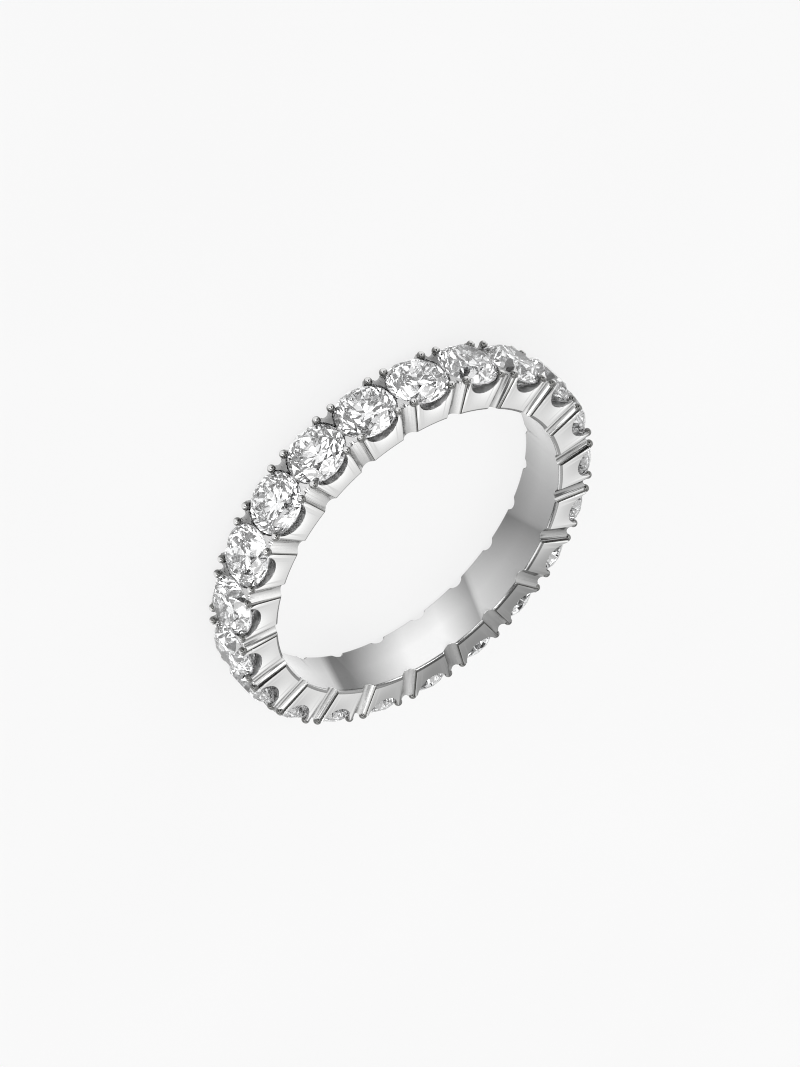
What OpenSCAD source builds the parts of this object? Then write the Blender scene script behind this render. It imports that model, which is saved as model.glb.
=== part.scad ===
// A full eternity ring: one polished metal setting that carries a closed row of
// round brilliant stones. It lies on its side, with the axis of the bore along +Z
// and z = 0 at the girdles of the stones, which it rests on.
// Lengths are in millimetres and angles in degrees.

/* [Finger] */
// Diameter of the bore that the finger goes through
finger_d = 16.9; // [16.5:0.1:17.1]
// Radius to which each edge of the bore is rounded
edge_r = 0.2; // [0.1:0.05:0.2]

/* [Band] */
// Width of the band, measured along the bore
band_w = 2.9; // [2.7:0.05:2.95]
// Height of the metal between two stones, above the middle of the stones' girdles
web_rise = 0.18; // [0.1:0.02:0.2]

/* [Flutes] */
// Width of the hollow flute that runs outwards between two stones on each side face
flute_w = 0.86; // [0.8:0.02:0.9]
// Depth of that flute in its middle
flute_depth = 0.3; // [0.25:0.01:0.32]

/* [Scallops] */
// Width of the round-bottomed scallop that opens the side face under each stone
scallop_w = 1.9; // [1.6:0.1:2]
// Height from the middle of a stone's girdle down to the floor of its scallop
scallop_drop = 0.62; // [0.5:0.02:0.7]

/* [Beads] */
// Diameter of the bead that holds the edge of a stone
bead_d = 0.42; // [0.36:0.02:0.44]
// Distance between the two beads of one flute, centre to centre
bead_spacing = 0.9; // [0.86:0.02:1]
// Height of a bead's centre above the middle of the girdles
bead_rise = 0.22; // [0.2:0.02:0.24]
// Distance from the side face in to the centre of a bead
bead_inset = 0.23; // [0.22:0.01:0.26]

/* [Stones] */
// Diameter of a stone
stone_d = 3; // [2.95:0.05:3]
// Width of a stone's table from corner to corner, as a share of its diameter
table_share = 0.61; // [0.55:0.01:0.63]
// Height of the crown, from the girdle's upper edge to the table
crown_h = 0.5; // [0.42:0.02:0.54]
// Thickness of the girdle
girdle_t = 0.09; // [0.06:0.01:0.1]
// Depth of the pavilion, from the girdle's lower edge to the point
pavilion_h = 1.29; // [1.2:0.01:1.3]
// Clear gap between the girdles of two neighbouring stones, where they are closest
stone_gap = 0.075; // [0.06:0.005:0.1]
// Clear gap between a stone and the metal
seat_gap = 0.07; // [0.05:0.01:0.08]

/* [Hidden] */

// The row of stones
stone_count = 21;
pitch = 360 / stone_count;
stone_r = stone_d / 2;
// The middle of every girdle lies on this radius, so that neighbours clear each other
girdle_r = (stone_r + stone_gap / 2) / tan(pitch / 2);
// The stones are a little wider than the band, and the ring rests on their girdles
band_low = stone_r - band_w / 2;
mid_z = stone_r;

// The band, as radii from the axis of the bore
bore_r = finger_d / 2;
face_r = bore_r + edge_r;
web_r = girdle_r + web_rise;

// A flute is part of a cylinder whose axis runs outwards, clear of the side face
flute_r = (flute_w * flute_w / 4 + flute_depth * flute_depth) / (2 * flute_depth);
flute_axis_out = flute_r - flute_depth;

// A scallop is a cylinder along the bore's direction, cut right across the band
scallop_r = scallop_w / 2;
scallop_axis_r = girdle_r - scallop_drop + scallop_r;

// The seat has the pavilion's slope and a straight wall above it
pavilion_angle = atan(pavilion_h / stone_r);
seat_wall_r = stone_r + seat_gap;
seat_point = -girdle_t / 2 - pavilion_h - seat_gap / cos(pavilion_angle);
seat_shoulder = seat_point + seat_wall_r * tan(pavilion_angle);

// A slot opens the middle of each web, where two girdles come within a hair of each other:
// its length runs along the bore, and its floor is this far under the girdles' middle
slot_length = 1;
slot_w = 0.2;
slot_drop = 0.2;

// How far a cutter runs on beyond the metal that it cuts
overrun = 0.5;

// Facets of a brilliant: eight mains, and a girdle of thirty-two flats
mains = 8;
main_step = 360 / mains;
girdle_flats = 32;
flat_step = 360 / girdle_flats;
table_r = table_share * stone_r;
// A star facet's outer corner, as a share of the way from the table to the girdle
star_share = 0.52;
// A lower half facet's inner corner, as a share of the way from the girdle to the point
lower_share = 0.76;
// Every stone is turned about its own axis by this much more than the one before
stone_turn = 27.8;

bead_r = bead_d / 2;
round_fn = 96;
bead_fn = 32;
flute_fn = 64;

// Puts a child that stands on its own Z axis at one place of the row, pointing outwards
module at_row(place) {
    rotate([0, 0, -90 + pitch * place])
        translate([girdle_r, 0, mid_z])
            rotate([0, 90, 0])
                children();
}

// The plain band: a ring whose edges at the bore are rounded
module band() {
    rotate_extrude($fn = round_fn) {
        translate([face_r, band_low])
            square([web_r - face_r, band_w]);
        translate([bore_r, band_low + edge_r])
            square([edge_r, band_w - 2 * edge_r]);
        for (height = [edge_r, band_w - edge_r])
            translate([face_r, band_low + height])
                circle(r = edge_r, $fn = bead_fn);
    }
}

// The seat of one stone, with its axis along Z and the middle of the girdle at z = 0
module seat_cutter() {
    rotate_extrude($fn = round_fn)
        polygon([
            [0, seat_point],
            [seat_wall_r, seat_shoulder],
            [seat_wall_r, web_rise + overrun],
            [0, web_rise + overrun]
        ]);
}

// The seats of a run of places, no two of which are neighbours
module seat_cutters(places) {
    for (place = places)
        at_row(place)
            seat_cutter();
}

// The scallop of one stone: it opens both side faces down to the pavilion
module scallop_cutter() {
    translate([0, 0, scallop_axis_r - girdle_r])
        rotate([0, 90, 0])
            cylinder(r = scallop_r, h = band_w + 2 * overrun, center = true, $fn = flute_fn);
}

// The flutes of one web, one on each side face
module flute_cutters() {
    for (side = [-1, 1])
        translate([side * (band_w / 2 + flute_axis_out), 0, bore_r - overrun - girdle_r])
            cylinder(r = flute_r, h = web_r - bore_r + 2 * overrun, $fn = flute_fn);
}

// The slot of one web, open at the top
module slot_cutter() {
    translate([-slot_length / 2, -slot_w / 2, -slot_drop])
        cube([slot_length, slot_w, slot_drop + web_rise + overrun]);
}

// The space of one stone's girdle and crown with the gap round it, which trims its beads
module crown_clearance() {
    rim_r = stone_r + seat_gap / 2;
    rim_top = girdle_t / 2 + seat_gap;
    top_r = table_r * cos(main_step / 2) + seat_gap / 2;
    rotate_extrude($fn = round_fn)
        polygon([
            [0, -crown_h],
            [rim_r, -crown_h],
            [rim_r, rim_top],
            [top_r, rim_top + crown_h],
            [0, rim_top + crown_h]
        ]);
}

// The four beads that hold one stone, trimmed to lie over the edge of its crown
module stone_beads() {
    half_angle = pitch / 2;
    bead_axis_r = girdle_r + bead_rise;
    along = bead_axis_r * cos(half_angle) + bead_spacing / 2 * sin(half_angle);
    across = bead_axis_r * sin(half_angle) - bead_spacing / 2 * cos(half_angle);
    difference() {
        for (side = [-1, 1], end = [-1, 1])
            translate([side * (band_w / 2 - bead_inset), end * across, along - girdle_r])
                sphere(r = bead_r, $fn = bead_fn);
        crown_clearance();
    }
}

// The band with its flutes, scallops and slots
module open_band() {
    difference() {
        difference() {
            difference() {
                band();
                for (place = [0 : stone_count - 1])
                    at_row(place + 0.5)
                        flute_cutters();
            }
            for (place = [0 : stone_count - 1])
                at_row(place)
                    scallop_cutter();
        }
        for (place = [0 : stone_count - 1])
            at_row(place + 0.5)
                slot_cutter();
    }
}

// The row is an odd number of stones, so its seats are cut in three runs
module setting() {
    color("silver") {
        difference() {
            difference() {
                difference() {
                    open_band();
                    seat_cutters([0 : 2 : stone_count - 3]);
                }
                seat_cutters([1 : 2 : stone_count - 2]);
            }
            seat_cutters([stone_count - 1]);
        }
        for (place = [0 : stone_count - 1])
            at_row(place)
                stone_beads();
    }
}

// A point at a distance and an angle from the stone's axis, at a height over its girdle
function around(radius, angle, height) = [radius * cos(angle), radius * sin(angle), height];

// The height at a third place of the plane that holds three points
function plane_height(a, b, c, x, y) =
    let (n = cross(b - a, c - a))
    a[2] - (n[0] * (x - a[0]) + n[1] * (y - a[1])) / n[2];

// The outer corner of a star facet, on the plane of the crown main beside it
star_r = table_r * cos(main_step / 2) * (1 - star_share) + stone_r * star_share;
star_h = crown_h * (stone_r - star_r * cos(main_step / 2)) / (stone_r - table_r);
// The inner corner of a lower half, on the ridge between two pavilion mains
lower_h = -pavilion_h * lower_share;
lower_r = (1 - lower_share) * stone_r / cos(main_step / 2);

// The height of a half facet where it meets one corner of the girdle
function half_height(flat, inner) =
    let (
        main = floor(flat / 4) * main_step,
        first = around(stone_r, main, 0),
        second = around(stone_r, main + main_step / 2, 0),
        third = around(stone_r, main + main_step, 0),
        early = flat % 4 < 2,
        corner = around(stone_r, flat * flat_step, 0)
    )
    flat % 2 == 0 ? 0
        : early ? plane_height(inner, first, second, corner[0], corner[1])
        : plane_height(inner, second, third, corner[0], corner[1]);

// The corners of one stone, in rings from the table down to the point
function stone_points() =
    let (half = girdle_t / 2)
    concat(
        [for (k = [0 : mains - 1]) around(table_r, k * main_step, half + crown_h)],
        [for (k = [0 : mains - 1]) around(star_r, (k + 0.5) * main_step, half + star_h)],
        [for (j = [0 : girdle_flats - 1])
            let (inner = around(star_r, (floor(j / 4) + 0.5) * main_step, star_h))
            around(stone_r, j * flat_step, half + half_height(j, inner))],
        [for (j = [0 : girdle_flats - 1])
            let (inner = around(lower_r, (floor(j / 4) + 0.5) * main_step, lower_h))
            around(stone_r, j * flat_step, -half + half_height(j, inner))],
        [for (k = [0 : mains - 1]) around(lower_r, (k + 0.5) * main_step, -half + lower_h)],
        [[0, 0, -half - pavilion_h]]
    );

// The facets of one stone, each a flat polygon whose corners run clockwise from outside
function stone_faces() =
    let (
        star = mains,
        upper = 2 * mains,
        lower = upper + girdle_flats,
        inner = lower + girdle_flats,
        point = inner + mains
    )
    concat(
        [[for (k = [mains - 1 : -1 : 0]) k]],
        [for (k = [0 : mains - 1]) [k, (k + 1) % mains, star + k]],
        [for (k = [0 : mains - 1]) [k, star + k, upper + 4 * k, star + (k + mains - 1) % mains]],
        [for (k = [0 : mains - 1], h = [0, 2])
            let (j = 4 * k + h)
            [star + k, upper + (j + 2) % girdle_flats, upper + j + 1, upper + j]],
        [for (j = [0 : girdle_flats - 1])
            let (next = (j + 1) % girdle_flats)
            [upper + j, upper + next, lower + next, lower + j]],
        [for (k = [0 : mains - 1], h = [0, 2])
            let (j = 4 * k + h)
            [inner + k, lower + j, lower + j + 1, lower + (j + 2) % girdle_flats]],
        [for (k = [0 : mains - 1])
            [point, inner + (k + mains - 1) % mains, lower + 4 * k, inner + k]]
    );

module stone(place) {
    color("aliceblue")
        at_row(place)
            rotate([0, 0, stone_turn * place])
                polyhedron(points = stone_points(), faces = stone_faces(), convexity = 2);
}

setting();
stone(0);  // stone_01
stone(1);  // stone_02
stone(2);  // stone_03
stone(3);  // stone_04
stone(4);  // stone_05
stone(5);  // stone_06
stone(6);  // stone_07
stone(7);  // stone_08
stone(8);  // stone_09
stone(9);  // stone_10
stone(10);  // stone_11
stone(11);  // stone_12
stone(12);  // stone_13
stone(13);  // stone_14
stone(14);  // stone_15
stone(15);  // stone_16
stone(16);  // stone_17
stone(17);  // stone_18
stone(18);  // stone_19
stone(19);  // stone_20
stone(20);  // stone_21
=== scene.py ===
# %% [markdown]
# A full eternity ring, lying on its side on a pale table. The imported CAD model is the
# fixed frame: it gives the sizes and places, and every piece made here has to sit in it.
# Its clear stones are already cut with true flat facets, so they stay and only get a
# finish. Its metal is true in form but coarse for a mirror polish, so that one piece is
# made again here with finer curves and softened edges.

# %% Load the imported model
import math

import bmesh
import bpy
from mathutils import Matrix, Vector
from mathutils.bvhtree import BVHTree


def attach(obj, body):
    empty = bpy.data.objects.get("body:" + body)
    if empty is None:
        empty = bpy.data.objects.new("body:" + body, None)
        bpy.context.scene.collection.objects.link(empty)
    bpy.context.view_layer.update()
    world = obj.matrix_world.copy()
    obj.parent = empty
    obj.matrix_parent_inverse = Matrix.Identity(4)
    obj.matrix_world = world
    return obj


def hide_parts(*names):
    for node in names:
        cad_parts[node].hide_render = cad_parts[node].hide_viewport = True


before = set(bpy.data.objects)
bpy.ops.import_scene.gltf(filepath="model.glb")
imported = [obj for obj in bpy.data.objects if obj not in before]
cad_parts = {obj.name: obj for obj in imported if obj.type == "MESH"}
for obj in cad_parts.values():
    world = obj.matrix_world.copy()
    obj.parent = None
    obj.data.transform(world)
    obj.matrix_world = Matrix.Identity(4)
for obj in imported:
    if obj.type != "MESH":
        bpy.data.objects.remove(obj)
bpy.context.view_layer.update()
print("nodes in the frame:", len(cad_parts))

# %% [markdown]
# All sizes are in millimetres, as a jeweller would note them, because Blender's mesh
# tools have fixed limits that suit lengths near one. Each finished mesh is shrunk to
# metres at the very end. The row is described by one stone's place: the stones' girdles
# lie on a circle that leaves a hair's width between neighbours.

# %% Measures of the ring
MM = 0.001
STONES = 21
PITCH = math.tau / STONES
STONE_R = 1.5
STONE_GAP = 0.075
GIRDLE_R = (STONE_R + STONE_GAP / 2) / math.tan(PITCH / 2)
BAND_W = 2.9
BORE_R = 8.45
EDGE_R = 0.2
FACE_R = BORE_R + EDGE_R
WEB_R = GIRDLE_R + 0.18
MIDDLE = 1.5
OVERRUN = 0.5
FLUTE_W = 0.86
FLUTE_DEPTH = 0.3
FLUTE_BED = BAND_W / 2 - FLUTE_DEPTH
BEAD_R = 0.21
BEAD_RISE = 0.22
BEAD_FOOT_R = GIRDLE_R + BEAD_RISE + BEAD_R / 2
BEAD_TOP_R = GIRDLE_R + BEAD_RISE + BEAD_R
print("girdle radius", round(GIRDLE_R, 4), "mm, web radius", round(WEB_R, 4), "mm")

# %% [markdown]
# Three small helpers serve every shape. A lathe turns a profile round the Z axis, which
# suits whatever a goldsmith would turn or drill. A placing step moves a tool from a
# stone's own axis to the row. The last one makes a finished object with its faces
# pointing outwards, because a profile that is spun can come out inside out.

# %% Helpers for shapes
def lathe(profile, steps, ring=False):
    """Spins a profile of (radius, height) pairs all the way round the Z axis."""
    bm = bmesh.new()
    corners = [bm.verts.new((radius, 0, height)) for radius, height in profile]
    lines = [bm.edges.new(pair) for pair in zip(corners, corners[1:])]
    if ring:
        lines.append(bm.edges.new((corners[-1], corners[0])))
    bmesh.ops.spin(
        bm, geom=corners + lines, cent=(0, 0, 0), axis=(0, 0, 1),
        angle=math.tau, steps=steps, use_merge=True,
    )
    bmesh.ops.remove_doubles(bm, verts=bm.verts, dist=1e-5)
    return bm


def place_in_row(bm, place):
    """Moves a shape from a stone's own axis to a place of the row, counted from the web."""
    turn = Matrix.Rotation(place * PITCH, 4, "Z")
    outwards = Matrix.Translation((GIRDLE_R, 0, 0)) @ Matrix.Rotation(math.pi / 2, 4, "Y")
    bmesh.ops.transform(bm, matrix=turn @ outwards, verts=bm.verts)
    return bm


def as_object(bm, name, material=None):
    """Makes an object of a bmesh, with its faces pointing outwards."""
    bmesh.ops.recalc_face_normals(bm, faces=bm.faces)
    mesh = bpy.data.meshes.new(name)
    bm.to_mesh(mesh)
    bm.free()
    if material:
        mesh.materials.append(material)
    piece = bpy.data.objects.new(name, mesh)
    bpy.context.scene.collection.objects.link(piece)
    return piece


def settle(piece):
    """Replaces a piece's mesh by what its modifiers make of it."""
    graph = bpy.context.evaluated_depsgraph_get()
    mesh = bpy.data.meshes.new_from_object(piece.evaluated_get(graph))
    piece.modifiers.clear()
    piece.data = mesh
    return piece


def boolean(piece, operation, tools):
    """Cuts tools out of a piece, or joins them to it, and clears the tools away."""
    for tool in tools:
        step = piece.modifiers.new(operation.lower(), "BOOLEAN")
        step.operation = operation
        step.solver = "EXACT"
        step.material_mode = "TRANSFER"
        step.object = tool
    settle(piece)
    for tool in tools:
        bpy.data.objects.remove(tool)
    return piece


# %% [markdown]
# Shader maths reads best as plain sums. This small class wraps a socket, so that an
# expression such as 0.1 + 0.2 * grain adds the Math nodes by itself. Every other kind
# of node comes from one method that takes its type, its settings and its inputs. A ramp
# takes a table of stops, each a position and a grey, for tones that are listed one by one.

# %% Helpers for finishes
BLACK = (0, 0, 0, 1)


class Socket:
    """A node's output, on which Python's operators add Math nodes."""

    def __init__(self, finish, socket):
        self.finish = finish
        self.socket = socket

    def math(self, operation, first, second=0.0):
        return self.finish.node("ShaderNodeMath", {"operation": operation}, {0: first, 1: second})

    def __add__(self, other):
        return self.math("ADD", self, other)

    def __radd__(self, other):
        return self.math("ADD", other, self)

    def __sub__(self, other):
        return self.math("SUBTRACT", self, other)

    def __rsub__(self, other):
        return self.math("SUBTRACT", other, self)

    def __mul__(self, other):
        return self.math("MULTIPLY", self, other)

    def __rmul__(self, other):
        return self.math("MULTIPLY", other, self)

    def __abs__(self):
        return self.math("ABSOLUTE", self)

    def __lt__(self, other):
        return self.math("LESS_THAN", self, other)


class Finish:
    """A node tree, with one method that adds a node and links it up."""

    def __init__(self, tree):
        self.tree = tree
        tree.nodes.clear()

    def feed(self, socket, value):
        if isinstance(value, Socket):
            self.tree.links.new(value.socket, socket)
        else:
            socket.default_value = value

    def node(self, kind, settings=None, inputs=None, output=0):
        node = self.tree.nodes.new(kind)
        for name, value in (settings or {}).items():
            if name == "stops":
                while len(node.color_ramp.elements) < len(value):
                    node.color_ramp.elements.new(1.0)
                for stop, (position, grey) in zip(node.color_ramp.elements, value):
                    stop.position = position
                    stop.color = (grey, grey, grey, 1)
            else:
                setattr(node, name, value)
        for name, value in (inputs or {}).items():
            self.feed(node.inputs[name], value)
        return Socket(self, node.outputs[output]) if node.outputs else None

    def place(self):
        """The position on the piece, in metres, in the frame of the whole ring."""
        return self.node("ShaderNodeTexCoord", output="Object")

    def split(self, vector):
        """The three parts of a vector."""
        first = self.node("ShaderNodeSeparateXYZ", {}, {"Vector": vector})
        return [Socket(self, output) for output in first.socket.node.outputs]

    def radius(self, at):
        """The distance from the ring's axis."""
        x, y, z = self.split(at)
        return self.node("ShaderNodeMath", {"operation": "SQRT"}, {0: x * x + y * y})

    def bearing(self, at):
        """The bearing on the ring as a share of a turn, with a half at the +Y side."""
        x, y, z = self.split(at)
        return self.node("ShaderNodeMath", {"operation": "ARCTAN2"}, {0: x, 1: y}) * (1 / math.tau) + 0.5

    def rise(self, at):
        """The height as a share of the ring's, from 0 at the bottom to 1 at the top."""
        return self.split(at)[2] * (1 / (2 * MIDDLE * MM))

    def noise(self, at, scale, detail=2.0):
        return self.node(
            "ShaderNodeTexNoise", {}, {"Vector": at, "Scale": scale, "Detail": detail}, "Fac",
        )

    def ramp(self, value, stops):
        return self.node("ShaderNodeValToRGB", {"stops": stops}, {"Fac": value}, "Color")

    def mix(self, share, first, second):
        return self.node(
            "ShaderNodeMix", {"data_type": "RGBA"}, {"Factor": share, "A": first, "B": second}, "Result",
        )


def tone(level):
    """The colour of white gold, which has slightly less blue than a plain grey."""
    return (level, level, level - 0.005, 1)


def new_finish(name):
    material = bpy.data.materials.new(name)
    material.use_nodes = True
    return material, Finish(material.node_tree)


def close_finish(finish, inputs):
    """Adds the surface shader with its inputs, and links it to the output."""
    surface = finish.node("ShaderNodeBsdfPrincipled", {}, inputs, "BSDF")
    finish.node("ShaderNodeOutputMaterial", {}, {"Surface": surface})
    kinds = {node.bl_idname for node in finish.tree.nodes}
    print("finish:", len(finish.tree.nodes), "nodes of", len(kinds), "kinds")


# %% [markdown]
# The metal is white gold with a mirror polish. A wheel leaves a surface that waves very
# slightly and is a little duller in some places than in others, which shows as soft
# edges in what it mirrors. The finger side is polished last and least, so it gets a
# softer mirror, and the rounded edge is duller than the faces that it joins. The rounded
# edge also gets a painted shade: its colour is darkened, which tones down the light that
# it mirrors.
#
# Over a bright table the upright finger side would mirror the table and nothing else. In
# a room it shows broad bands of light and shade. A ramp by the bearing on the ring paints
# them into the colour as a painted reflection: a few rounded tones with three sharp edges
# between them. The painted bands lean, to one side on the right of the ring and to the
# other on its left, and a painted shade darkens them towards the table. The side faces
# get a painted shade on the low side of the ring.

# %% Polished metal
SATIN_R = (BORE_R + 0.05) * MM
RIM_R = (FACE_R - 0.02) * MM
RIM_PAINTED_SHADE = 0.65
PAINTED_BORE_BANDS = [
    (0.0, 0.6), (0.25, 0.8), (0.405, 0.35), (0.41, 0.25), (0.495, 0.7), (0.5, 0.4), (0.54, 1.0),
    (0.58, 1.0), (0.65, 0.2), (0.665, 0.2), (0.675, 0.65), (0.73, 1.0), (1.0, 0.6),
]
LEFT_LEAN = -0.021
RIGHT_LEAN = 0.015
LEAN_TURNS = [(0.0, 1.0), (0.42, 1.0), (0.47, 0.0), (1.0, 0.0)]
FAR_PAINTED_SHADE = [(0.0, 0.78), (0.5, 1.0), (1.0, 1.0)]
SIDE_PAINTED_SHADE = [(0.0, 1.0), (0.4, 1.0), (0.45, 0.4), (0.57, 0.4), (0.67, 1.0), (1.0, 1.0)]

metal, finish = new_finish("polished_metal")
at = finish.place()
radius = finish.radius(at)
bearing = finish.bearing(at)
rise = finish.rise(at)
inside = radius < SATIN_R
rim = radius < RIM_R
lean = LEFT_LEAN + (RIGHT_LEAN - LEFT_LEAN) * finish.ramp(bearing, LEAN_TURNS)
# The finger side's colour is a painted reflection: bands of light and shade by bearing.
painted_bands = finish.ramp(bearing + (rise - 0.5) * lean, PAINTED_BORE_BANDS) * finish.ramp(rise, FAR_PAINTED_SHADE)
cloud = finish.noise(at, 900.0)
grain = finish.noise(at, 9000.0, 3.0)
tint = finish.mix(cloud, tone(0.76), tone(0.80))
# Painted shade: the side faces are darkened on the low side of the ring.
tint = finish.mix(finish.ramp(bearing, SIDE_PAINTED_SHADE), BLACK, tint)
# Painted shade: the rounded edge's colour is darkened.
tint = finish.mix(rim * RIM_PAINTED_SHADE, tint, BLACK)
wave = finish.node(
    "ShaderNodeBump", {}, {"Strength": 0.05, "Distance": 0.00005, "Height": cloud}, "Normal",
)
close_finish(finish, {
    "Base Color": finish.mix(inside, tint, painted_bands),
    "Metallic": 1.0,
    "Roughness": 0.05 + 0.05 * grain + 0.2 * rim - 0.05 * inside,
    "Normal": wave,
})

# %% [markdown]
# A setting bur leaves the seat under each stone matt, and no wheel can reach it
# afterwards. Its colour is painted dark, a painted shade for the hollow under the stone
# and for the saw cut in the web. The seat itself is hidden, but a stone shows it wherever
# light passes out at its back, and that makes many of the small dark facets.

# %% Bur-cut seat
SEAT_PAINTED_SHADE = [(0.0, 0.14), (0.44, 0.18), (0.54, 0.48), (1.0, 0.52)]

seat_metal, finish = new_finish("seat_metal")
chatter = finish.noise(finish.place(), 6000.0, 3.0)
close_finish(finish, {
    # Painted shade: a dark colour, in patches that differ at random.
    "Base Color": finish.ramp(chatter, SEAT_PAINTED_SHADE),
    "Metallic": 1.0,
    "Roughness": 0.12 + 0.1 * chatter,
})

# %% [markdown]
# The scallops under the stones are filed, which leaves them dull and uneven, paler in
# some places than in others. Their colour is also painted darker than the polished
# metal, a painted shade for the hollow under each stone, so they show as grey crescents
# below the stones.

# %% Filed recesses
FILE_MARKS_AND_PAINTED_SHADE = [(0.0, 0.26), (0.4, 0.32), (0.55, 0.5), (0.7, 0.62), (1.0, 0.62)]

recess_metal, finish = new_finish("recess_metal")
tracks = finish.noise(finish.place(), 2500.0, 4.0)
close_finish(finish, {
    # Painted shade in the hollow, with filed marks that differ at random.
    "Base Color": finish.ramp(tracks, FILE_MARKS_AND_PAINTED_SHADE),
    "Metallic": 1.0,
    "Roughness": 0.25 + 0.15 * tracks,
})

# %% [markdown]
# A flute is cut by one long stroke of a ball graver, which leaves its bed nearly as
# bright as the polished face. Its steep edges get a painted shade, a dark tone, so that
# two thin lines draw each flute. The depth in the flute is known from the height,
# because the side faces are level. The flutes also take a painted shade by bearing,
# which stands for the other part of a room that each of them mirrors. Those nearest the
# camera are rougher, because they are out of focus in the picture and show only a soft
# grey.

# %% Engraved flutes
CUT_PAINTED_SHADE = [
    (0.0, 1.0), (0.17, 0.6), (0.24, 0.8), (0.36, 0.4), (0.56, 0.4), (0.61, 0.75), (0.9, 0.75),
    (0.96, 1.0), (1.0, 1.0),
]
NEAR_SIDE = [(0.0, 0.0), (0.46, 0.0), (0.5, 1.0), (0.56, 1.0), (0.76, 0.0), (1.0, 0.0)]
FLUTE_EDGE = [(0.0, 0.0), (0.55, 0.0), (0.75, 0.6), (0.9, 1.0), (1.0, 1.0)]

flute_metal, finish = new_finish("flute_metal")
at = finish.place()
tracks = finish.noise(at, 7000.0, 3.0)
above_bed = abs(finish.split(at)[2] - MIDDLE * MM) - FLUTE_BED * MM
# Painted shade on the steep edges of the flute.
edge_painted_shade = finish.ramp(above_bed * (1 / (FLUTE_DEPTH * MM)), FLUTE_EDGE)
bearing = finish.bearing(at)
tint = finish.mix(tracks, tone(0.70), tone(0.80))
# Painted shade by bearing, for what each flute mirrors.
tint = finish.mix(finish.ramp(bearing, CUT_PAINTED_SHADE), BLACK, tint)
close_finish(finish, {
    "Base Color": finish.mix(edge_painted_shade, tint, tone(0.06)),
    "Metallic": 1.0,
    "Roughness": 0.14 + 0.06 * tracks + 0.25 * finish.ramp(bearing, NEAR_SIDE),
})

# %% [markdown]
# The narrow outer face between the stones is only rubbed down, and a bright cut slopes
# from it to each side face. Their tone is painted by height: what lies low gets a
# painted shade for the shade beside the ring and looks grey, and what lies high is
# painted pale, for the light that it mirrors.

# %% Web tops and bright cuts
CREST_PAINTED_SHADE = [(0.0, 0.6), (0.12, 0.55), (0.24, 0.26), (0.45, 0.34), (0.65, 0.85), (1.0, 0.9)]

crest_metal, finish = new_finish("crest_metal")
at = finish.place()
tracks = finish.noise(at, 7000.0, 3.0)
# Painted shade and light by height.
tint = finish.ramp(finish.rise(at), CREST_PAINTED_SHADE)
# Painted shade by bearing, as on the flutes.
tint = finish.mix(finish.ramp(finish.bearing(at), CUT_PAINTED_SHADE), BLACK, tint)
close_finish(finish, {
    "Base Color": finish.mix(tracks * 0.3, tint, tone(0.4)),
    "Metallic": 1.0,
    "Roughness": 0.18 + 0.08 * tracks,
})

# %% [markdown]
# A cupped tool rounds and polishes each bead. Its foot gets a painted shade, dark in its
# corner with the stone, so the tone follows the distance from the ring's axis.

# %% Beads
BEAD_CAP = [(0.0, 0.0), (0.5, 0.1), (0.85, 1.0), (1.0, 1.0)]

bead_metal, finish = new_finish("bead_metal")
at = finish.place()
grain = finish.noise(at, 9000.0, 3.0)
above_foot = finish.radius(at) - BEAD_FOOT_R * MM
cap = finish.ramp(above_foot * (1 / ((BEAD_TOP_R - BEAD_FOOT_R) * MM)), BEAD_CAP)
close_finish(finish, {
    # Painted shade on the bead's foot.
    "Base Color": finish.mix(cap, tone(0.18), tone(0.8)),
    "Metallic": 1.0,
    "Roughness": 0.08 + 0.05 * grain,
})

# %% [markdown]
# The band starts as a plain turned ring whose edges at the bore are rounded for comfort.
# Only the stretch between the axes of two neighbouring stones is kept, because that one
# web holds everything that repeats: half of two seats, half of two scallops, two flutes,
# a slot and four beads. Working on one web keeps each cut small and quick. The band is
# turned by half a step first, so that both ends are cut through the middle of a facet
# and match each other exactly.

# %% One stretch of the band
STEPS_PER_STONE = 24
EDGE_STEPS = 8
HALF_W = BAND_W / 2


def rounded_edge(side):
    """The quarter circle that joins the bore to the side face on one side."""
    turns = [math.pi / 2 * step / EDGE_STEPS for step in range(EDGE_STEPS + 1)]
    return [
        (FACE_R - EDGE_R * math.cos(turn), side * (HALF_W - EDGE_R + EDGE_R * math.sin(turn)))
        for turn in turns
    ]


profile = rounded_edge(-1) + [(WEB_R, -HALF_W), (WEB_R, HALF_W)] + rounded_edge(1)[::-1]
band = lathe(profile, STONES * STEPS_PER_STONE, ring=True)
half_step = Matrix.Rotation(PITCH / STEPS_PER_STONE / 2, 3, "Z")
bmesh.ops.rotate(band, verts=band.verts, cent=(0, 0, 0), matrix=half_step)
END_PLANES = [
    Vector((-math.sin(side * PITCH / 2), math.cos(side * PITCH / 2), 0)) * side
    for side in (-1, 1)
]
for plane in END_PLANES:
    bmesh.ops.bisect_plane(
        band, geom=band.verts[:] + band.edges[:] + band.faces[:],
        plane_co=(0, 0, 0), plane_no=plane, clear_outer=True,
    )
bmesh.ops.holes_fill(band, edges=[edge for edge in band.edges if edge.is_boundary], sides=0)
print("plain web:", round(band.calc_volume(), 3), "cubic millimetres")
web = as_object(band, "web", metal)
web.data.materials.append(crest_metal)
for face in web.data.polygons:
    reach = min(math.hypot(*web.data.vertices[corner].co.xy) for corner in face.vertices)
    if reach > FACE_R:
        face.material_index = 1

# %% [markdown]
# Each seat is drilled with a bur that has the stone's own slope. Each scallop is filed
# straight across the band, and a flute is run outwards in each side face with a ball
# graver. A bright cut slopes from the web's top to each side face, and a saw cut opens
# the web where two girdles nearly touch. A finish goes with each tool, so that every
# face that it leaves is already dressed.

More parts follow.
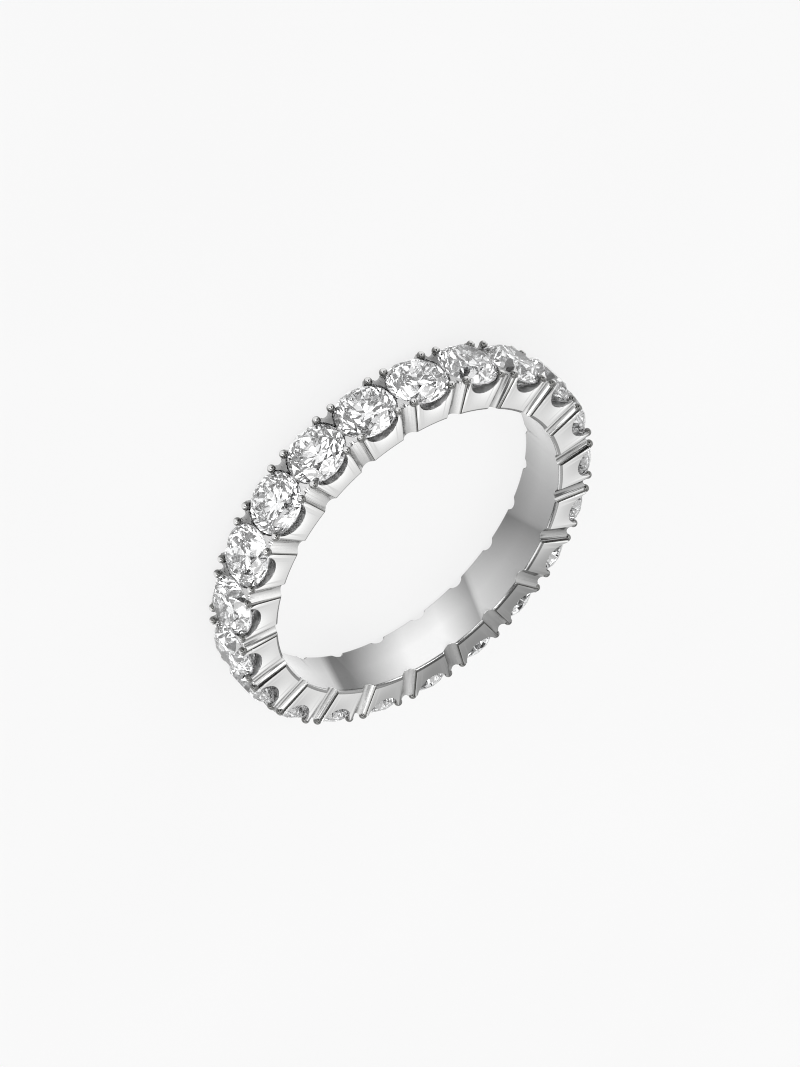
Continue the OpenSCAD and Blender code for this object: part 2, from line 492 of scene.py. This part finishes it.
# %% The cutting tools
SEAT_GAP = 0.07
GIRDLE_T = 0.09
PAVILION_H = 1.29
SLOPE = math.atan(PAVILION_H / STONE_R)
SEAT_WALL_R = STONE_R + SEAT_GAP
SEAT_POINT = -GIRDLE_T / 2 - PAVILION_H - SEAT_GAP / math.cos(SLOPE)
SEAT_SHOULDER = SEAT_POINT + SEAT_WALL_R * math.tan(SLOPE)
SEAT_TOP = WEB_R - GIRDLE_R + OVERRUN
SCALLOP_R = 0.95
SCALLOP_DROP = 0.62
FLUTE_R = (FLUTE_W ** 2 / 4 + FLUTE_DEPTH ** 2) / (2 * FLUTE_DEPTH)
CUT_R = 0.22
CUT_TILT = math.radians(19)
CUT_START = 0.85
SLOT_LENGTH = 1.0
SLOT_W = 0.2
SLOT_DROP = 0.2


def seat_bur(place):
    profile = [
        (0, SEAT_POINT),
        (SEAT_WALL_R, SEAT_SHOULDER),
        (SEAT_WALL_R, SEAT_TOP),
        (0, SEAT_TOP),
    ]
    return as_object(place_in_row(lathe(profile, 128), place), "seat_bur", seat_metal)


def scallop_file(place):
    bm = bmesh.new()
    bmesh.ops.create_cone(
        bm, cap_ends=True, segments=96, radius1=SCALLOP_R, radius2=SCALLOP_R,
        depth=BAND_W + 2 * OVERRUN, matrix=Matrix.Rotation(math.pi / 2, 4, "Y"),
    )
    bmesh.ops.translate(bm, verts=bm.verts, vec=(0, 0, SCALLOP_R - SCALLOP_DROP))
    return as_object(place_in_row(bm, place), "scallop_file", recess_metal)


def flute_graver(side):
    bm = bmesh.new()
    bmesh.ops.create_cone(
        bm, cap_ends=True, segments=96, radius1=FLUTE_R, radius2=FLUTE_R,
        depth=WEB_R - BORE_R + 2 * OVERRUN,
    )
    across = side * (HALF_W + FLUTE_R - FLUTE_DEPTH)
    bmesh.ops.translate(bm, verts=bm.verts, vec=(across, 0, (WEB_R + BORE_R) / 2 - GIRDLE_R))
    return as_object(place_in_row(bm, 0), "flute_graver", flute_metal)


def bright_cutter(side):
    """A round graver that runs down from the web's top to the side face, between two beads."""
    bm = bmesh.new()
    bmesh.ops.create_cone(
        bm, cap_ends=True, segments=48, radius1=CUT_R, radius2=CUT_R, depth=4 * OVERRUN,
    )
    start = Matrix.Translation((side * CUT_START, 0, WEB_R - GIRDLE_R))
    slope = Matrix.Rotation(side * CUT_TILT - math.pi / 2, 4, "Y")
    bmesh.ops.transform(bm, matrix=start @ slope @ Matrix.Translation((CUT_R, 0, 0)), verts=bm.verts)
    return as_object(place_in_row(bm, 0), "bright_cutter", crest_metal)


def slot_saw():
    bm = bmesh.new()
    bmesh.ops.create_cube(bm, size=1)
    height = SLOT_DROP + SEAT_TOP
    bmesh.ops.scale(bm, verts=bm.verts, vec=(SLOT_LENGTH, SLOT_W, height))
    bmesh.ops.translate(bm, verts=bm.verts, vec=(0, 0, height / 2 - SLOT_DROP))
    return as_object(place_in_row(bm, 0), "slot_saw", seat_metal)


tools = [slot_saw()]
tools += [flute_graver(side) for side in (-1, 1)]
tools += [bright_cutter(side) for side in (-1, 1)]
tools += [scallop_file(place) for place in (-0.5, 0.5)]
tools += [seat_bur(place) for place in (-0.5, 0.5)]
boolean(web, "DIFFERENCE", tools)
print("cut web:", len(web.data.polygons), "faces")

# %% [markdown]
# Four beads stand on the web, two at each end, and each leans over the crown of the
# stone beside it. A real bead is raised with a graver and rounded with a cupped tool.
# Here it is a ball that is trimmed to clear the crown and then joined to the web.

# %% The beads
BEAD_SPACING = 0.9
BEAD_INSET = 0.23
CROWN_H = 0.5
TABLE_FLAT_R = 0.61 * STONE_R * math.cos(math.pi / 8)


def crown_clearance(place):
    rim_r = STONE_R + SEAT_GAP / 2
    rim_top = GIRDLE_T / 2 + SEAT_GAP
    profile = [
        (0, -CROWN_H),
        (rim_r, -CROWN_H),
        (rim_r, rim_top),
        (TABLE_FLAT_R + SEAT_GAP / 2, rim_top + CROWN_H),
        (0, rim_top + CROWN_H),
    ]
    return as_object(place_in_row(lathe(profile, 128), place), "clearance", bead_metal)


def bead(side, end):
    """One bead: side is the side face that it is near, and end the stone that it holds."""
    bm = bmesh.new()
    bmesh.ops.create_uvsphere(bm, u_segments=24, v_segments=14, radius=BEAD_R)
    centre = Vector((GIRDLE_R + BEAD_RISE, end * BEAD_SPACING / 2, side * (HALF_W - BEAD_INSET)))
    bmesh.ops.translate(bm, verts=bm.verts, vec=centre)
    ball = as_object(bm, "bead", bead_metal)
    return boolean(ball, "DIFFERENCE", [crown_clearance(end * 0.5)])


boolean(web, "UNION", [bead(side, end) for side in (-1, 1) for end in (-1, 1)])
print("web with beads:", len(web.data.polygons), "faces")

# %% [markdown]
# The flat ends of the web are taken off, the rest is spun round in as many copies as
# there are stones, and the copies are merged where they meet. The result is one closed
# body, as cast metal is.

# %% The whole setting
MERGE = 0.004
FIRST_WEB = -math.pi / 2 + PITCH / 2

bm = bmesh.new()
bm.from_mesh(web.data)
bmesh.ops.remove_doubles(bm, verts=bm.verts, dist=MERGE)
ends = [
    face for face in bm.faces
    if any(all(abs(corner.co.dot(plane)) < MERGE / 10 for corner in face.verts) for plane in END_PLANES)
]
bmesh.ops.delete(bm, geom=ends, context="FACES")
bmesh.ops.rotate(bm, verts=bm.verts, cent=(0, 0, 0), matrix=Matrix.Rotation(FIRST_WEB, 3, "Z"))
bmesh.ops.spin(
    bm, geom=bm.verts[:] + bm.edges[:] + bm.faces[:], cent=(0, 0, 0), axis=(0, 0, 1),
    angle=math.tau - PITCH, steps=STONES - 1, use_duplicate=True,
)
bmesh.ops.remove_doubles(bm, verts=bm.verts, dist=MERGE)
open_edges = sum(not edge.is_manifold for edge in bm.edges)
print("setting:", round(bm.calc_volume(), 2), "cubic millimetres,", open_edges, "open edges")
setting = as_object(bm, "setting_metal")
for material in web.data.materials:
    setting.data.materials.append(material)
print("finishes of the setting:", [material.name for material in setting.data.materials])
bpy.data.objects.remove(web)

# %% [markdown]
# No edge of a worn or polished ring is truly sharp. A bevel of a few hundredths of a
# millimetre catches the thin lines of light that make metal look like metal. Weighted
# normals then keep the flat faces flat up to those bevels. Where two edges nearly meet,
# a bevel can throw a corner off the surface, so stray corners are put back on it.

# %% Softened edges
STRAY = 0.02
sharp = BVHTree.FromPolygons(
    [corner.co for corner in setting.data.vertices], [face.vertices for face in setting.data.polygons],
)
bevel = setting.modifiers.new("softened_edges", "BEVEL")
bevel.affect = "EDGES"
bevel.limit_method = "ANGLE"
bevel.angle_limit = math.radians(25)
bevel.width = 0.025
bevel.segments = 2
bevel.profile = 0.5
bevel.use_clamp_overlap = False
bevel.material = -1
settle(setting)
strays = 0
for corner in setting.data.vertices:
    nearest, normal, index, distance = sharp.find_nearest(corner.co)
    if distance > STRAY:
        corner.co = nearest
        strays += 1
print("corners put back on the surface:", strays, "of", len(setting.data.vertices))
setting.data.transform(Matrix.Scale(MM, 4) @ Matrix.Translation((0, 0, MIDDLE)))
for face in setting.data.polygons:
    face.use_smooth = True
normals = setting.modifiers.new("flat_faces", "WEIGHTED_NORMAL")
normals.weight = 50
normals.keep_sharp = False
settle(setting)
triangles = sum(len(face.vertices) - 2 for face in setting.data.polygons)
print("setting:", triangles, "triangles")
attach(setting, "root")
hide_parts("setting")

# %% [markdown]
# The stones are cut with a table, crown, girdle and pavilion of flat facets, so their
# meshes are right as they come. Clear glass with a very high index of refraction turns
# most of the light back out through the crown, which makes the bright and dark patches.
# The girdle is ground and not polished, so it is frosted: the mask finds it by the
# distance from the middle plane of the girdle in each stone's own direction.

# %% Clear stones
FIRST_STONE = -math.pi / 2

stone_finish, finish = new_finish("clear_stone")
at = finish.place()
tint = finish.mix(finish.noise(at, 700.0), (0.965, 0.975, 0.985, 1), (1.0, 1.0, 1.0, 1))
x, y, z = finish.split(at)
angle = finish.node("ShaderNodeMath", {"operation": "ARCTAN2"}, {0: y, 1: x})
places = angle * (1 / PITCH) + (0.5 - FIRST_STONE / PITCH)
beside = finish.node("ShaderNodeMath", {"operation": "FLOORED_MODULO"}, {0: places, 1: 1.0}) - 0.5
outwards = finish.radius(at) * finish.node("ShaderNodeMath", {"operation": "COSINE"}, {0: beside * PITCH})
girdle = abs(outwards - GIRDLE_R * MM) < GIRDLE_T / 2 * MM
close_finish(finish, {
    "Base Color": tint,
    "Roughness": 0.3 * girdle,
    "IOR": 2.417,
    "Transmission Weight": 1.0,
})
stones = [piece for name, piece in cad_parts.items() if name.startswith("stone")]
for stone in stones:
    for slot in stone.material_slots:
        slot.material = stone_finish
print("stones with their finish:", len(stones))

# %% [markdown]
# The table is a broad, plain, pale sheet that is lit from below, as tables for small
# goods often are, so that hardly any shadow lies on it. It runs far past the picture,
# so that it also fills what the polished metal mirrors.

# %% Pale table
FLOOR_HALF = 2.0

pale, finish = new_finish("pale_table")
mottle = finish.noise(finish.place(), 40.0)
close_finish(finish, {
    "Base Color": finish.mix(mottle, (0.09, 0.09, 0.09, 1), (0.11, 0.11, 0.11, 1)),
    "Roughness": 0.6 + 0.05 * mottle,
    "Specular IOR Level": 0.2,
    "Emission Color": finish.mix(mottle, (0.805, 0.805, 0.805, 1), (0.815, 0.815, 0.815, 1)),
    "Emission Strength": 1.0,
})
bm = bmesh.new()
bmesh.ops.create_grid(bm, x_segments=1, y_segments=1, size=FLOOR_HALF)
floor = as_object(bm, "table", pale)
if floor.data.polygons[0].normal.z < 0:
    floor.data.flip_normals()
print("table:", 2 * FLOOR_HALF, "metres wide")

# %% [markdown]
# Jewellery is photographed in a pale tent, because metal and stones mirror all that is
# round them. The half of the tent behind the ring is even, and gives the side faces
# their calm light. The half in front is brighter and parted by tall gaps, and the tent
# is darker overhead and along the table, because clear stones sparkle only where light
# and dark alternate. Two round dark patches stand for the camera and for a stand beside
# it. One soft panel hangs above the camera.

# %% Soft studio light
PANELS = 6
PANEL_PHASE = math.pi / 2 - PANELS * math.radians(89)
TO_CAMERA = (-0.01645, -0.83493, 0.55011)
TO_STAND = (-0.6330, -0.7544, 0.1736)
PANEL_EDGE = [(0.0, 0.0), (0.4, 0.0), (0.46, 1.0), (1.0, 1.0)]
BACK_HALF = [(0.0, 0.0), (0.5, 0.0), (0.6, 1.0), (1.0, 1.0)]
ABOVE_TABLE = [(0.0, 0.1), (0.1, 0.1), (0.14, 1.0), (1.0, 1.0)]
UPWARDS = [(0.0, 0.6), (0.06, 0.6), (0.12, 1.0), (0.88, 1.0), (0.92, 0.15), (1.0, 0.15)]
CAMERA_PATCH = [(0.0, 1.0), (0.978, 1.0), (0.984, 0.0), (1.0, 0.0)]
STAND_PATCH = [(0.0, 1.0), (0.87, 1.0), (0.895, 0.06), (1.0, 0.06)]

world = bpy.data.worlds.new("studio")
bpy.context.scene.world = world
world.use_nodes = True
tent = Finish(world.node_tree)
direction = tent.node("ShaderNodeTexCoord", output="Generated")
east, north, rise = tent.split(direction)
azimuth = tent.node("ShaderNodeMath", {"operation": "ARCTAN2"}, {0: north, 1: east})
wave = tent.node("ShaderNodeMath", {"operation": "SINE"}, {0: azimuth * PANELS + PANEL_PHASE})
front = tent.ramp(wave * 0.5 + 0.5, PANEL_EDGE) * tent.ramp(rise, ABOVE_TABLE)
back = tent.ramp(north * 0.5 + 0.5, BACK_HALF)
cloth = tent.node("ShaderNodeMath", {"operation": "MAXIMUM"}, {0: front, 1: back})
cloth = cloth * tent.ramp(rise, UPWARDS)
for toward, patch in ((TO_CAMERA, CAMERA_PATCH), (TO_STAND, STAND_PATCH)):
    nearness = tent.node("ShaderNodeVectorMath", {"operation": "DOT_PRODUCT"}, {0: direction, 1: toward}, "Value")
    cloth = cloth * tent.ramp(nearness, patch)
cloth = (0.985 * cloth + 0.015) * (2.15 - 1.48 * north)
light = tent.node("ShaderNodeBackground", {}, {"Color": cloth, "Strength": 1.0})
tent.node("ShaderNodeOutputWorld", {}, {"Surface": light})

PANEL_AZIMUTH = math.radians(-90)
PANEL_ELEVATION = math.radians(76)
PANEL_DISTANCE = 0.6
PANEL_SIDE = 0.4
PANEL_RADIANCE = 0.8

lamp = bpy.data.lights.new("overhead_panel", "AREA")
lamp.shape = "SQUARE"
lamp.size = PANEL_SIDE
lamp.energy = PANEL_RADIANCE * math.pi * PANEL_SIDE ** 2
panel = bpy.data.objects.new("overhead_panel", lamp)
turn = Matrix.Rotation(PANEL_AZIMUTH, 4, "Z") @ Matrix.Rotation(math.pi / 2 - PANEL_ELEVATION, 4, "Y")
panel.matrix_world = turn @ Matrix.Translation((0, 0, PANEL_DISTANCE))
bpy.context.scene.collection.objects.link(panel)
print("tent:", len(world.node_tree.nodes), "nodes, and", len(bpy.data.lights), "panel")

# %% [markdown]
# The camera stands where the photographer's did, as seen from the ring. It looks down at
# the ring at 33 degrees from a long way off, and it is turned about its own line of
# sight, which is why the ring looks tipped over in the picture.

# %% Camera
CAMERA_AT = (-0.00403, -0.20819, 0.13844)
CAMERA_RIGHT = (-0.69954, 0.40272, 0.59031)
CAMERA_UP = (-0.71440, -0.37512, -0.59069)

camera_data = bpy.data.cameras.new("camera")
camera_data.sensor_width = 36
camera_data.lens = 172.93
camera_data.clip_start = 0.01
camera_data.clip_end = 20
camera = bpy.data.objects.new("camera", camera_data)
axes = Matrix((CAMERA_RIGHT, CAMERA_UP, TO_CAMERA)).transposed().to_4x4()
camera.matrix_world = Matrix.Translation(CAMERA_AT) @ axes
bpy.context.scene.collection.objects.link(camera)
bpy.context.scene.camera = camera
print("camera distance:", round(Vector(CAMERA_AT).length, 4), "metres")

# %% [markdown]
# Light that enters a stone turns round in it several times, so more bounces are allowed
# than usual. A narrow pixel filter keeps the small facets crisp, and the plain Standard
# view keeps the whites white.

# %% Light paths and view
scene = bpy.context.scene
scene.cycles.max_bounces = 24
scene.cycles.glossy_bounces = 16
scene.cycles.transmission_bounces = 16
scene.cycles.filter_width = 1.1
scene.view_settings.view_transform = "Standard"
print("bounces allowed:", scene.cycles.max_bounces)
